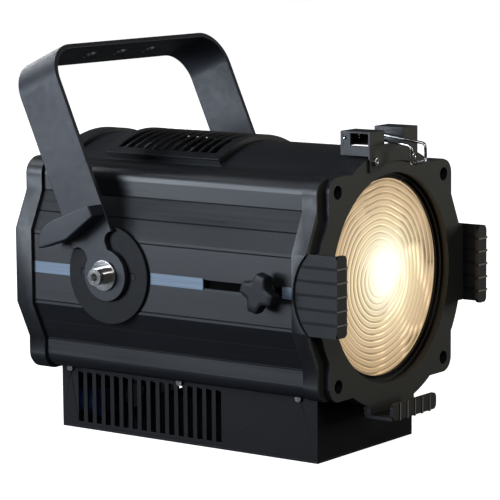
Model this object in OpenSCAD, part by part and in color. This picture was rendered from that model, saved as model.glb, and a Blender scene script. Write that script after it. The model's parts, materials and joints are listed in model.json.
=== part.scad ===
// Fresnel spotlight: a focusing lens lantern with an extruded barrel, a vented
// base that houses the driver, a tilting yoke and an accessory frame holder.
//
// Frame: +Z up, the lens faces -Y, the origin is at the middle of the base underside.

/* [Barrel] */
// Height of the lens axis above the base underside
axis_h = 136.5; // [130:0.5:170]
// Length of the extruded barrel between the front casting and the rear cap
barrel_len = 252; // [215:1:320]
// Radius of the round top and bottom of the barrel
barrel_r = 99; // [97:0.5:101]
// Half width of the barrel over its flat sides
side_half = 105; // [104:0.5:112]
// Half height of the flat sides
flat_half = 29; // [24:0.5:34]
// Half height at which the slanted flanks meet the corner lobes
flank_half = 59; // [52:0.5:62]
// Half width over the corner lobes
lobe_x = 91; // [89:0.5:94]
// Half height over the corner lobes
lobe_z = 83; // [81:0.5:86]
// Corner radius of the lobes
lobe_r = 11; // [8:0.5:14]
// Wall of the extrusion
wall = 3; // [2:0.25:4]
// Pitch of the square of corner screws
screw_pitch = 146; // [142:0.5:150]

/* [Front] */
// Radius of the round part of the front flange
flange_r = 100; // [99:0.5:103]
// Width of the square part of the front flange
flange_sq = 169; // [164:0.5:172]
// Thickness of the front flange
flange_t = 6; // [4:0.5:9]
// Depth of the casting between the flange and the barrel
casting_d = 13; // [11:0.5:18]
// Clear diameter of the lens
lens_view_d = 150; // [140:1:152]
// Thickness of the lens at its rim
lens_t = 7; // [5:0.5:9]
// Depth of the accessory slot, from the flange face to the back of the lips
slot_gap = 18; // [12:0.5:24]
// Width of each accessory clip
clip_w = 61; // [50:1:70]
// Distance from the lens axis to the inside of a clip wall
clip_in = 101.8; // [101.5:0.1:106]
// How far each lip reaches in front of the accessory frame
lip_h = 10.4; // [7:0.2:14]
// Sheet of the accessory clips
clip_t = 2.5; // [2:0.1:3]

/* [Yoke] */
// Distance from the rear end of the barrel to the tilt axis
pivot_back = 78; // [70:1:110]
// Inside height of the yoke, from the tilt axis to the crossbar
yoke_h = 179.2; // [172:0.2:230]
// Width of the yoke bar
yoke_w = 42; // [36:1:48]
// Thickness of the yoke bar
yoke_t = 4; // [3:0.5:6]
// Inside bend radius of the yoke
yoke_bend = 24; // [12:1:36]
// How far the yoke leans back at rest, in degrees
yoke_lean = 24; // [0:1:30]
// Diameter of the fixing holes in the crossbar
hook_d = 13; // [8:0.5:17]
// Pitch of the fixing holes
hook_pitch = 38; // [30:1:50]
// Diameter of the tilt screws
pivot_d = 8; // [6:0.5:10]
// Diameter of the discs that the yoke bears on
disc_d = 78; // [64:1:80]
// Thickness of those discs
disc_t = 2.5; // [2:0.1:4]

/* [Base] */
// Length of the base
base_len = 253; // [235:1:290]
// Width of the base
base_w = 131; // [110:1:150]
// Sheet of the base
base_t = 2; // [1.5:0.1:3]
// Distance from the front end of the barrel back to the front of the base
base_setback = 5.5; // [2:0.5:20]
// Number of louvre slots in each side of the base
louvre_n = 16; // [8:1:17]
// Pitch of the louvre slots
louvre_pitch = 9.3; // [7:0.1:10]

/* [Focus] */
// Distance of the focus knob behind the front end of the barrel
focus_at = 22; // [16:1:30]
// Length of the side slot that the focus stud runs in
slot_len = 73.5; // [60:0.5:80]
// Height of that slot
slot_h = 6.6; // [6.2:0.1:8]
// Diameter of the focus stud
stud_d = 6; // [5:0.1:6.1]
// Diameter over the lobes of the focus knob
knob_d = 31; // [26:0.5:36]
// Diameter of the guide rods
rod_d = 8; // [6:0.5:10]
// Width of the LED heat sink
sink_w = 96; // [80:1:100]

/* [Fits] */
// Radial clearance of a running fit
run_fit = 0.08; // [0.04:0.01:0.1]
// Clearance between parts that are assembled loosely
loose = 0.2; // [0.1:0.05:0.4]

/* [Hidden] */
$fn = 96;
eps = 0.01;

// Stations along Y
barrel_front = -base_len / 2 - base_setback;
barrel_rear = barrel_front + barrel_len;
pivot_y = barrel_rear - pivot_back;
flange_back = barrel_front - casting_d;
flange_face = flange_back - flange_t;
lip_back = flange_face - slot_gap;
lip_face = lip_back - clip_t;
cap_d = 19;
cap_rear = barrel_rear + cap_d;
cap_proud = 2.5;
bulkhead_t = 4;

// Corner screws of the front casting and the rear cap
boss_r = 6.5;
corner_screw_d = 5;
corner_head_d = 8.5;
corner_head_h = 5;
counterbore_d = 10.5;
counterbore_deep = 11;

// Lens stack, from the front
lens_r = lens_view_d / 2 + 4.8;
pocket_r = lens_r + 0.5;
lens_gasket_t = 1.4;
lens_back = barrel_front - lens_gasket_t;
lens_face = lens_back - lens_t;
lip_bore_r = lens_view_d / 2 + 3.5;
face_bore_r = pocket_r + 0.7;
ring_t = 2.2;
ring_in_r = lens_view_d / 2 + 1;
beam_r = lens_view_d / 2 - 1;

// Side strips and the recess that they lie in
strip_h = 9;
strip_t = 1;
strip_recess = 1.2;
slot_front = barrel_front + 9.5;
slot_rear = slot_front + slot_len;

// Tilt pivot
disc_face = side_half + disc_t;
arm_in = disc_face + loose;
arm_out = arm_in + yoke_t;
eye_r = yoke_w / 2 - 0.5;
neck_half = yoke_w / 2 - 9.8;
notch_r = 7.5;
notch_v = 21.5;
nut_d = 16;
nut_in = 13;
washer_d = 24;
washer_t = 2;
spring_d = 13.4;
spring_t = 2.4;
pivot_head_d = 13;
pivot_head_h = 8;
guard_out = 15.4;
disc_screw_r = 24;
disc_screw_d = 3;
disc_head_d = 5.6;
disc_head_h = 1.2;
washer_out = arm_out + 0.1 + washer_t;
spring_out = washer_out + spring_t;

// Latch at the top of the flange
latch_half = 33;
latch_t = 1.6;
latch_low_r = 90;
latch_mid_z = 104;
latch_top_z = 114.5;
latch_deep = 25;
latch_screw_x = 26;
latch_screw_z = 91.6;
ear_in = 13;
wire_d = 2.6;
bail_y = flange_face + 21;
bail_z = 109;
bail_half = 10;
bail_front = flange_face - slot_gap - clip_t - 3;
bail_front_z = 103.6;
bail_low_z = 90;

// Top vent cover
vent_y0 = barrel_front + 106;
vent_y1 = barrel_rear - 33;
vent_proud = 4.4;
vent_angle = 31;
vent_n = 11;
vent_pitch = 9.1;
vent_slot_w = 6.2;

// Base
base_front = -base_len / 2;
base_rear = base_len / 2;
base_top = axis_h - lobe_z;
base_plate_t = 2;
louvre_w = 5;
louvre_h = 41;
louvre_z = 5.5;
louvre_rear = base_rear - 17;
side_screw_z = axis_h - 87.5;
side_screws_y = [-base_len / 2 + 17, 0.02 * base_len, base_len / 2 - 9.5];

// Focus carriage
knob_y = barrel_front + focus_at;
rod_x = 62;
rod_z = -58;
carriage_y = knob_y + 6;
carriage_t = 5;
carriage_r = 66;
baffle_t = 0.8;
baffle_x = side_half - wall - strip_recess - 0.6;
upright_x = baffle_x - baffle_t;
bush_d = rod_d + 6;
bush_len = 24;
rod_front = barrel_front + 1;
rod_rear = barrel_rear - 41;
sink_base_t = 8;
fin_n = 17;
fin_t = 2;
fin_deep = 52;
led_d = 42;
led_t = 3;
knob_base = side_half + 4;
knob_h = 12;

// Fan
fan_w = 80;
fan_d = 20;
fan_z = 6;
fan_face = cap_rear - 4;
fan_back = fan_face - fan_d;
blade_n = 7;

// Rear control panel and sockets
panel_w = 96;
panel_h = 27;
panel_z = -64;
panel_face = cap_rear + 1.2;
button_d = 7;
button_pitch = 12;
button_x = 2;
button_out = 1.6;
socket_hole_d = 24;
socket_z = 18.5;
socket_x = [-42, 0, 42];
socket_flange_w = 26;
socket_flange_h = 31;

black = [0.13, 0.14, 0.16];
cast_black = [0.20, 0.20, 0.20];
steel = [0.75, 0.76, 0.78];

// ---- helpers ---------------------------------------------------------------

// Extrudes an outline drawn in (x, height above the lens axis) from y0 to y1
module along_y(y0, y1) {
    translate([0, y1, axis_h]) rotate([90, 0, 0]) linear_extrude(y1 - y0) children();
}

// Extrudes an outline drawn in (y, z) from x0 to x1
module along_x(x0, x1) {
    translate([x0, 0, 0]) rotate([90, 0, 90]) linear_extrude(x1 - x0) children();
}

// A round bar along Y, placed from the lens axis
module rod_y(d, y0, y1, x = 0, z = 0) {
    translate([x, y1, axis_h + z]) rotate([90, 0, 0]) cylinder(d = d, h = y1 - y0);
}

// A round bar along X between x0 and x1
module rod_x_dir(d, x0, x1, y, z) {
    translate([x0, y, z]) rotate([0, 90, 0]) cylinder(d = d, h = x1 - x0);
}

module rounded_rect(w, h, r) {
    square([w - 2 * r, h], center = true);
    square([w, h - 2 * r], center = true);
    for (sx = [-1, 1], sy = [-1, 1]) translate([sx * (w / 2 - r), sy * (h / 2 - r)]) circle(r);
}

module in_four_corners() {
    for (mx = [0, 1], mz = [0, 1]) mirror([mx, 0]) mirror([0, mz])
        translate([screw_pitch / 2, screw_pitch / 2]) children();
}

module both_sides() {
    for (m = [0, 1]) mirror([m, 0, 0]) children();
}

// Flat sides and slanted flanks of the barrel, grown by out
module flank_outline(out = 0) {
    s = side_half + out;
    l = lobe_x + out;
    // these two heights shift with out so that the flanks stay parallel
    flat = flat_half + 0.22 * out;
    flank = flank_half + 0.22 * out;
    // the flanks run on into the lobes
    tip = [l - (s - l) / 2, flank + (flank - flat) / 2];
    polygon([
        [s, flat], [s, -flat], [tip[0], -tip[1]], [-tip[0], -tip[1]],
        [-s, -flat], [-s, flat], [-tip[0], tip[1]], tip
    ]);
}

// The barrel's cross-section from y0 to y1, grown by out
module barrel_bar(y0, y1, out = 0) {
    along_y(y0, y1) flank_outline(out);
    along_y(y0, y1) rounded_rect(2 * (lobe_x + out), 2 * (lobe_z + out), lobe_r + out);
    rod_y(2 * (barrel_r + out), y0, y1);
}

// The space inside the barrel, less the four screw bosses. The wall is thicker at the
// flat sides, where the strip recess is.
module barrel_core(y0, y1, gap = 0) {
    x = side_half - wall - strip_recess - gap;
    difference() {
        intersection() {
            barrel_bar(y0, y1, -wall - gap);
            translate([-x, y0 - 1, axis_h - 2 * barrel_r]) cube([2 * x, y1 - y0 + 2, 4 * barrel_r]);
        }
        along_y(y0 - 1, y1 + 1) in_four_corners() {
            circle(r = boss_r + gap);
            translate([-gap, -gap]) square(lobe_r + 8);
        }
    }
}

// ---- barrel ----------------------------------------------------------------

// Fine lines along the extrusion
module barrel_lines() {
    for (sx = [-1, 1], sz = [-1, 1]) {
        translate([sx * lobe_x, sz * (flank_half + 1)]) square([1.2, 0.8], center = true);
        translate([sx * side_half, sz * (flat_half - 2.5)]) square([1.2, 0.9], center = true);
        translate([sx * 57, sz * lobe_z]) square([1, 1.2], center = true);
        translate([sx * (side_half + lobe_x) / 2, sz * (flat_half + flank_half) / 2])
            square([1.4, 0.8], center = true);
    }
}

module barrel_shell() {
    color(black) difference() {
        barrel_bar(barrel_front, barrel_rear);
        barrel_core(barrel_front - 1, barrel_rear + 1);
        along_y(barrel_front - 1, barrel_rear + 1) {
            in_four_corners() circle(d = corner_screw_d + 2 * run_fit);
            barrel_lines();
            for (sx = [-1, 1])
                translate([sx * side_half, 0]) square([2 * strip_recess, strip_h + loose], center = true);
        }
        // focus slot in the left side
        along_x(-side_half - 1, -side_half + 12) translate([slot_front, axis_h - slot_h / 2])
            square([slot_len, slot_h]);
        // holes for the threaded bosses of the pivot discs
        rod_x_dir(nut_d + loose, -side_half - 1, -side_half + 12, pivot_y, axis_h);
        rod_x_dir(nut_d + loose, side_half - 12, side_half + 1, pivot_y, axis_h);
        for (s = [-1, 1], side = [-1, 1])
            rod_x_dir(disc_screw_d + 2 * run_fit, side * side_half - 8, side * side_half + 8,
                pivot_y + s * disc_screw_r, axis_h);
        // opening under the top vent cover
        translate([-44, vent_y0 + 8, axis_h + barrel_r - 30]) cube([88, vent_y1 - vent_y0 - 16, 40]);
        // cable passage into the base
        translate([0, barrel_rear - 60, axis_h - barrel_r - 5]) cylinder(d = 30, h = 20);
    }
}

module strip_piece(side, y0, y1) {
    x0 = side < 0 ? -side_half + strip_recess - strip_t : side_half - strip_recess;
    translate([x0, y0, axis_h - strip_h / 2]) cube([strip_t, y1 - y0, strip_h]);
}

// Flat inlays that cover the side recesses in front of and behind the discs
module side_strips() {
    disc_front = pivot_y - disc_d / 2 - 1;
    disc_rear = pivot_y + disc_d / 2 + 1;
    color([0.62, 0.68, 0.75]) {
        strip_piece(-1, barrel_front + loose, slot_front - loose);
        strip_piece(-1, slot_rear + loose, disc_front);
        strip_piece(-1, disc_rear, barrel_rear - loose);
        strip_piece(1, barrel_front + loose, disc_front);
        strip_piece(1, disc_rear, barrel_rear - loose);
    }
}

// ---- front -----------------------------------------------------------------

module clip_pocket() {
    along_x(clip_in, side_half + 10) translate([flange_face - 26, axis_h]) circle(r = 44);
}

module front_casting() {
    color(cast_black) difference() {
        union() {
            barrel_bar(flange_back, barrel_front, 1);
            along_y(flange_face, flange_back) {
                circle(r = flange_r);
                rounded_rect(flange_sq, flange_sq, (flange_sq - screw_pitch) / 2);
                square([2 * clip_in, clip_w], center = true);
                translate([-clip_w / 2, -clip_in]) square([clip_w, clip_in]);
            }
        }
        rod_y(2 * pocket_r, lens_face - ring_t, barrel_front + 1);
        rod_y(2 * lip_bore_r, flange_face - 1, barrel_front + 1);
        rod_y(2 * face_bore_r, flange_face - 1, flange_back);
        for (sx = [-1, 1], sz = [-1, 1]) {
            rod_y(counterbore_d, flange_face - 1, flange_face + counterbore_deep,
                sx * screw_pitch / 2, sz * screw_pitch / 2);
            rod_y(corner_screw_d + 2 * loose, flange_face, barrel_front + 1,
                sx * screw_pitch / 2, sz * screw_pitch / 2);
        }
        clip_pocket();
        mirror([1, 0, 0]) clip_pocket();
        for (sx = [-1, 1])
            rod_y(3.2, flange_face - 1, flange_face + 8, sx * latch_screw_x, latch_screw_z);
    }
}

// Socket cap screw along Y with its head towards -Y; head_y is the seat of the head
module corner_screw(seat, tip, x, z) {
    difference() {
        union() {
            rod_y(corner_head_d, seat - corner_head_h, seat, x, z);
            rod_y(corner_screw_d, seat - eps, tip, x, z);
        }
        translate([x, seat - corner_head_h + 2.6, axis_h + z]) rotate([90, 0, 0])
            cylinder(d = 4.6, h = 3, $fn = 6);
    }
}

module front_screws() {
    color(cast_black) for (sx = [-1, 1], sz = [-1, 1])
        corner_screw(flange_face + counterbore_deep, barrel_front + 16,
            sx * screw_pitch / 2, sz * screw_pitch / 2);
}

// Stepped lens: a flat back with prism rings on the front
module fresnel_lens() {
    rings = 13;
    step = (lens_view_d / 2 - 3) / rings;
    relief = 1.6;
    color([0.95, 0.90, 0.78]) translate([0, lens_back, axis_h]) rotate([90, 0, 0])
        rotate_extrude() polygon(concat(
            [[0, 0], [lens_r, 0], [lens_r, lens_t], [rings * step, lens_t]],
            [for (i = [rings : -1 : 1]) each
                [[i * step, lens_t - relief], [(i - 1) * step, lens_t - 0.2 + (i == 1 ? 0.2 : 0)]]]
        ));
}

module lens_gasket() {
    color([0.16, 0.16, 0.16]) difference() {
        rod_y(2 * lens_r, lens_back, barrel_front);
        rod_y(2 * beam_r, lens_back - 1, barrel_front + 1);
    }
}

// Split ring between the casting lip and the lens
module lens_retaining_ring() {
    color(steel) difference() {
        rod_y(2 * lens_r, lens_face - ring_t, lens_face);
        rod_y(2 * ring_in_r, lens_face - ring_t - 1, lens_face + 1);
        translate([0, 0, axis_h]) rotate([0, -69, 0]) translate([lens_r - 8, flange_back, -1.5])
            cube([20, 20, 3]);
    }
}

// Frame across the barrel that clamps the lens and carries the rods
module bulkhead(y0, hole_r) {
    difference() {
        barrel_core(y0, y0 + bulkhead_t, loose);
        rod_y(2 * hole_r, y0 - 1, y0 + bulkhead_t + 1);
        for (sx = [-1, 1])
            rod_y(rod_d + 2 * run_fit, y0 - 1, y0 + bulkhead_t + 1, sx * rod_x, rod_z);
    }
}

module front_bulkhead() {
    color(cast_black) bulkhead(barrel_front, beam_r);
}

module rear_bulkhead() {
    color(cast_black) bulkhead(barrel_rear - 45, 66);
}

module clip_ribs() {
    for (i = [-2 : 2]) translate([0, 0, i * 10.4]) children();
}

// Clip for the accessory frame, drawn at the +X side of the lens axis
module accessory_clip() {
    out = clip_in + clip_t;
    root = flange_face + 18;
    rib = 0.6;
    along_y(lip_face, lip_face + clip_t) translate([out - (lip_h + clip_t) / 2, 0])
        rounded_rect(lip_h + clip_t, clip_w, 4);
    translate([0, 0, axis_h]) {
        intersection() {
            translate([clip_in, lip_face + 1, -clip_w / 2])
                cube([clip_t, root - lip_face - 1, clip_w]);
            rotate([0, 90, 0]) translate([0, flange_face - 26, clip_in - 1])
                cylinder(r = 43.9, h = clip_t + 2);
        }
        clip_ribs() translate([out - eps, lip_face, -0.8]) cube([rib + eps, 36 - clip_t, 1.6]);
        clip_ribs() translate([clip_in - lip_h, lip_face - rib, -0.8])
            cube([lip_h + clip_t + rib, rib + eps, 1.6]);
    }
}

module accessory_clip_right() {
    color(cast_black) accessory_clip();
}

module accessory_clip_left() {
    color(cast_black) mirror([1, 0, 0]) accessory_clip();
}

module accessory_clip_bottom() {
    color(cast_black) translate([0, 0, axis_h]) rotate([0, 90, 0]) translate([0, 0, -axis_h])
        accessory_clip();
}

module latch_ear() {
    // front post, side wall with its window, and top
    translate([ear_in, flange_face - latch_t, axis_h + latch_mid_z - 2])
        cube([latch_half - ear_in, latch_t, latch_top_z - latch_mid_z + 2]);
    difference() {
        translate([latch_half - latch_t, flange_face - latch_t, axis_h + 96])
            cube([latch_t, latch_deep + latch_t, latch_top_z - 96]);
        translate([latch_half - latch_t - 1, flange_face, axis_h + 103.4])
            cube([latch_t + 2, 16, latch_top_z - latch_t - 103.4]);
        rod_x_dir(wire_d + 2 * run_fit, latch_half - latch_t - 1, latch_half + 1,
            bail_y, axis_h + bail_z);
    }
    translate([ear_in, flange_face - latch_t, axis_h + latch_top_z - latch_t])
        cube([latch_half - ear_in, latch_deep + latch_t, latch_t]);
    translate([ear_in, flange_face + latch_deep - latch_t, axis_h + 102.5])
        cube([latch_half - ear_in, latch_t, latch_top_z - 102.5]);
    difference() {
        translate([ear_in, flange_face - latch_t, axis_h + 102.5])
            cube([latch_t, latch_deep + latch_t, latch_top_z - 102.5]);
        rod_x_dir(wire_d + 2 * run_fit, ear_in - 1, ear_in + latch_t + 1, bail_y, axis_h + bail_z);
    }
}

// Folded bracket screwed to the top of the flange; its ears carry the wire bail
module latch_bracket() {
    color(cast_black) difference() {
        union() {
            along_y(flange_face - latch_t, flange_face) difference() {
                translate([-latch_half, 70]) square([2 * latch_half, latch_mid_z - 70]);
                circle(r = latch_low_r);
            }
            latch_ear();
            mirror([1, 0, 0]) latch_ear();
        }
        for (sx = [-1, 1]) rod_y(3.4, flange_face - latch_t - 1, flange_face + 1,
            sx * latch_screw_x, latch_screw_z);
    }
}

module latch_screws() {
    color(steel) for (sx = [-1, 1]) difference() {
        union() {
            rod_y(6, flange_face - latch_t - 2.2, flange_face - latch_t,
                sx * latch_screw_x, latch_screw_z);
            rod_y(3, flange_face - latch_t - eps, flange_face + 7.5,
                sx * latch_screw_x, latch_screw_z);
        }
        translate([sx * latch_screw_x, flange_face - latch_t - 2.2, axis_h + latch_screw_z])
            for (a = [0, 90]) rotate([0, a, 0]) cube([3.4, 2.4, 0.8], center = true);
    }
}

// A length of wire from a to b with round ends
module wire(a, b) {
    d = b - a;
    len = norm(d);
    translate(a) rotate([0, acos(d[2] / len), atan2(d[1], d[0])]) cylinder(d = wire_d, h = len);
    translate(a) sphere(d = wire_d);
    translate(b) sphere(d = wire_d);
}

// Wire bail that swings down in front of the accessory frame
module latch_bail() {
    top = axis_h + bail_z;
    color(steel) {
        for (sx = [-1, 1]) {
            rod_x_dir(wire_d, sx < 0 ? -latch_half - 0.8 : bail_half, sx < 0 ? -bail_half : latch_half + 0.8,
                bail_y, top);
            wire([sx * bail_half, bail_y, top], [sx * bail_half, bail_front, axis_h + bail_front_z]);
            wire([sx * bail_half, bail_front, axis_h + bail_front_z],
                [sx * bail_half, bail_front, axis_h + bail_low_z]);
        }
        wire([-bail_half, bail_front, axis_h + bail_low_z], [bail_half, bail_front, axis_h + bail_low_z]);
    }
}

// ---- rear ------------------------------------------------------------------

module rear_cap() {
    edge = 3;
    color(black) difference() {
        union() {
            barrel_bar(barrel_rear, cap_rear - edge, cap_proud);
            barrel_bar(cap_rear - edge - eps, cap_rear - edge / 2, cap_proud - 1);
            barrel_bar(cap_rear - edge / 2 - eps, cap_rear, cap_proud - edge);
        }
        difference() {
            barrel_bar(barrel_rear - 1, cap_rear - 4, -wall);
            along_y(barrel_rear - 2, cap_rear) in_four_corners() circle(r = boss_r + 2);
        }
        rod_y(fan_w - 2, cap_rear - 6, cap_rear + 1, 0, fan_z);
        along_y(cap_rear - 6, cap_rear + 1) translate([0, panel_z])
            square([panel_w - 8, panel_h - 8], center = true);
        for (sx = [-1, 1], sz = [-1, 1]) {
            rod_y(counterbore_d, cap_rear - 7, cap_rear + 1, sx * screw_pitch / 2, sz * screw_pitch / 2);
            rod_y(corner_screw_d + 2 * loose, barrel_rear - 1, cap_rear,
                sx * screw_pitch / 2, sz * screw_pitch / 2);
        }
    }
}

module rear_cap_screws() {
    color(cast_black) translate([0, barrel_rear + cap_rear - 7, 0]) mirror([0, 1, 0])
        for (sx = [-1, 1], sz = [-1, 1])
            corner_screw(barrel_rear, barrel_rear + cap_d + 8,
                sx * screw_pitch / 2, sz * screw_pitch / 2);
}

module vent_sector(r0, r1, angle) {
    intersection() {
        difference() {
            circle(r = r1);
            circle(r = r0);
        }
        polygon([[0, 0], [-200 * sin(angle), 200 * cos(angle)], [200 * sin(angle), 200 * cos(angle)]]);
    }
}

module top_vent_cover() {
    skin = 2;
    rim = 4;
    outer = barrel_r + vent_proud;
    slots_y0 = vent_y0 + 8.5;
    color(black) difference() {
        along_y(vent_y0, vent_y1) vent_sector(barrel_r, outer, vent_angle);
        along_y(vent_y0 + rim, vent_y1 - rim) vent_sector(barrel_r - 1, outer - skin, vent_angle - 2.5);
        for (i = [0 : vent_n - 1])
            translate([-46, slots_y0 + i * vent_pitch, axis_h + 60]) cube([92, vent_slot_w, 60]);
    }
}

// ---- base ------------------------------------------------------------------

module louvres() {
    for (i = [0 : louvre_n - 1])
        translate([-base_w, louvre_rear - louvre_w - i * louvre_pitch, louvre_z])
            cube([2 * base_w, louvre_w, louvre_h]);
}

module base_box() {
    color(black) difference() {
        translate([-base_w / 2, base_front, base_plate_t])
            cube([base_w, base_len, base_top - base_plate_t]);
        translate([-base_w / 2 + base_t, base_front + base_t, 0])
            cube([base_w - 2 * base_t, base_len - 2 * base_t, base_top + 1]);
        barrel_bar(base_front - 1, base_rear + 1);
        barrel_bar(barrel_rear - loose, base_rear + 1, cap_proud + loose);
        louvres();
        for (y = side_screws_y)
            rod_x_dir(4 + 2 * loose, -base_w, base_w, y, side_screw_z);
        for (x = socket_x) translate([x, base_rear + 1, socket_z]) rotate([90, 0, 0])
            cylinder(d = socket_hole_d + 2 * loose, h = base_t + 2);
    }
}

// Bars under the lobes of the barrel that the sides of the base screw to
module base_rails() {
    rail_x = base_w / 2 - base_t;
    color(steel) both_sides() difference() {
        translate([rail_x - 8, base_front + 6, base_top - 8]) cube([8, base_len - 14, 8]);
        for (y = side_screws_y) rod_x_dir(4 + 2 * run_fit, rail_x - 9, rail_x + 1, y, side_screw_z);
    }
}

module base_plate_holes(d, z0, z1) {
    for (sx = [-1, 1], sy = [-1, 1])
        translate([sx * (base_w / 2 - 12), sy * (base_len / 2 - 12), z0]) cylinder(d = d, h = z1 - z0);
}

module base_plate() {
    color(black) difference() {
        translate([-base_w / 2, base_front, 0]) cube([base_w, base_len, base_plate_t]);
        base_plate_holes(3.4, -1, base_plate_t + 1);
        base_plate_holes(6.8, -1, 1.2);
    }
}

module base_screws() {
    color(steel) for (side = [-1, 1], y = side_screws_y) {
        head_x = side < 0 ? -base_w / 2 - 2 : base_w / 2;
        shank_x = side < 0 ? -base_w / 2 - eps : base_w / 2 - 8;
        rod_x_dir(5.6, head_x, head_x + 2, y, side_screw_z);
        rod_x_dir(4, shank_x, shank_x + 8 + eps, y, side_screw_z);
    }
}

module base_plate_screws() {
    color(steel) {
        base_plate_holes(6.4, 0.2, 1.2);
        base_plate_holes(3, 1.1, 8);
    }
}

// Sealed power supply on the base plate
module led_driver() {
    color([0.7, 0.7, 0.68]) translate([-42, base_front + 20, base_plate_t]) cube([84, 150, 30]);
}

// ---- rear controls ---------------------------------------------------------

module control_board() {
    color([0.05, 0.3, 0.15]) translate([-44, cap_rear - 13, axis_h + panel_z - 10])
        cube([88, 1.6, 20]);
}

module button_holes(d, y0, y1) {
    for (i = [0 : 3]) rod_y(d, y0, y1, button_x + i * button_pitch, panel_z);
}

module control_panel() {
    color([0.08, 0.08, 0.09]) difference() {
        along_y(cap_rear, panel_face) translate([0, panel_z]) rounded_rect(panel_w, panel_h, 3);
        button_holes(button_d + 2 * run_fit, cap_rear - 1, panel_face + 1);
        along_y(cap_rear - 1, panel_face + 1) translate([-24, panel_z]) square([34, 14], center = true);
    }
}

module display_window() {
    color([0.05, 0.09, 0.12]) along_y(cap_rear - 1, panel_face) translate([-24, panel_z])
        square([34 - 2 * loose, 14 - 2 * loose], center = true);
}

module menu_button(i) {
    x = button_x + i * button_pitch;
    color([0.25, 0.25, 0.27]) {
        rod_y(button_d, cap_rear - 1.5, panel_face + button_out, x, panel_z);
        rod_y(button_d + 2, cap_rear - 2.5, cap_rear - 1.5 + eps, x, panel_z);
    }
}

module panel_socket(x) {
    difference() {
        union() {
            translate([x - socket_flange_w / 2, base_rear, socket_z - socket_flange_h / 2])
                cube([socket_flange_w, 2, socket_flange_h]);
            translate([x, base_rear + eps, socket_z]) rotate([90, 0, 0])
                cylinder(d = socket_hole_d, h = 22);
        }
        translate([x, base_rear + 3, socket_z]) rotate([90, 0, 0]) difference() {
            cylinder(d = socket_hole_d - 5, h = 14);
            translate([0, 0, -1]) cylinder(d = socket_hole_d - 12, h = 16);
        }
    }
}

module power_inlet() {
    color([0.15, 0.2, 0.5]) panel_socket(socket_x[0]);
}

module data_socket_in() {
    color([0.3, 0.3, 0.32]) panel_socket(socket_x[1]);
}

module data_socket_out() {
    color([0.3, 0.3, 0.32]) panel_socket(socket_x[2]);
}

// ---- tilt pivot and yoke ---------------------------------------------------

// Bearing disc with a threaded boss through the barrel wall, drawn at +X
module pivot_disc() {
    difference() {
        union() {
            rod_x_dir(disc_d, side_half, disc_face, pivot_y, axis_h);
            rod_x_dir(nut_d, side_half - nut_in, side_half + eps, pivot_y, axis_h);
        }
        rod_x_dir(pivot_d + 2 * run_fit, side_half - nut_in - 1, disc_face + 1, pivot_y, axis_h);
        for (s = [-1, 1]) {
            rod_x_dir(disc_screw_d + 2 * loose, side_half - 1, disc_face + 1,
                pivot_y + s * disc_screw_r, axis_h);
            rod_x_dir(disc_head_d + 2 * loose, disc_face - disc_head_h, disc_face + 1,
                pivot_y + s * disc_screw_r, axis_h);
        }
    }
}

module pivot_disc_right() {
    color(black) pivot_disc();
}

module pivot_disc_left() {
    color(black) mirror([1, 0, 0]) pivot_disc();
}

module disc_screws() {
    color(cast_black) both_sides() for (s = [-1, 1]) {
        rod_x_dir(disc_head_d, disc_face - disc_head_h, disc_face - 0.2,
            pivot_y + s * disc_screw_r, axis_h);
        rod_x_dir(disc_screw_d, side_half - wall - 2, disc_face - disc_head_h + eps,
            pivot_y + s * disc_screw_r, axis_h);
    }
}

// Puts the yoke, drawn upright about its tilt axis, in its place at rest
module on_yoke() {
    translate([0, pivot_y, axis_h]) rotate([-yoke_lean, 0, 0]) children();
}

// Outline of one arm in (front to back, up): eye, necked end and straight bar
module arm_outline() {
    difference() {
        union() {
            circle(r = eye_r);
            translate([-neck_half, 0]) square([2 * neck_half, notch_v + 8]);
            translate([-yoke_w / 2, notch_v]) square([yoke_w, yoke_h - yoke_bend - notch_v]);
        }
        for (s = [-1, 1]) translate([s * (neck_half + notch_r), notch_v]) circle(r = notch_r);
        circle(d = pivot_d + 2 * run_fit);
    }
}

module yoke_corner() {
    translate([arm_in - yoke_bend, yoke_w / 2, yoke_h - yoke_bend]) rotate([90, 0, 0])
        rotate_extrude(angle = 90) translate([yoke_bend, 0]) square([yoke_t, yoke_w]);
}

module yoke() {
    color(black) on_yoke() difference() {
        union() {
            along_x(arm_in, arm_out) arm_outline();
            along_x(-arm_out, -arm_in) arm_outline();
            yoke_corner();
            mirror([1, 0, 0]) yoke_corner();
            translate([-arm_in + yoke_bend, -yoke_w / 2, yoke_h])
                cube([2 * (arm_in - yoke_bend), yoke_w, yoke_t]);
        }
        for (i = [-1 : 1]) translate([i * hook_pitch, 0, yoke_h - 1])
            cylinder(d = hook_d, h = yoke_t + 2);
    }
}

// Shallow closed hood on the outside of each arm, just above its tilt screw
module pivot_guard() {
    f = yoke_w / 2 - 0.5;
    on_yoke() along_x(arm_out, arm_out + guard_out)
        polygon([[-f, 52], [-f, 43], [12, 35.6], [42, 38.8], [40, 43.5], [35, 49.5], [28, 52.8], [19, 54]]);
}

module pivot_guard_right() {
    color(black) pivot_guard();
}

module pivot_guard_left() {
    color(black) mirror([1, 0, 0]) pivot_guard();
}

module tilt_ring(d, x0, x1) {
    difference() {
        rod_x_dir(d, x0, x1, pivot_y, axis_h);
        rod_x_dir(pivot_d + 2 * run_fit, x0 - 1, x1 + 1, pivot_y, axis_h);
    }
}

module pivot_washers() {
    color(steel) both_sides() tilt_ring(washer_d, arm_out + 0.1, washer_out);
}

module pivot_spring_washers() {
    color(steel) both_sides() tilt_ring(spring_d, washer_out, spring_out);
}

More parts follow.
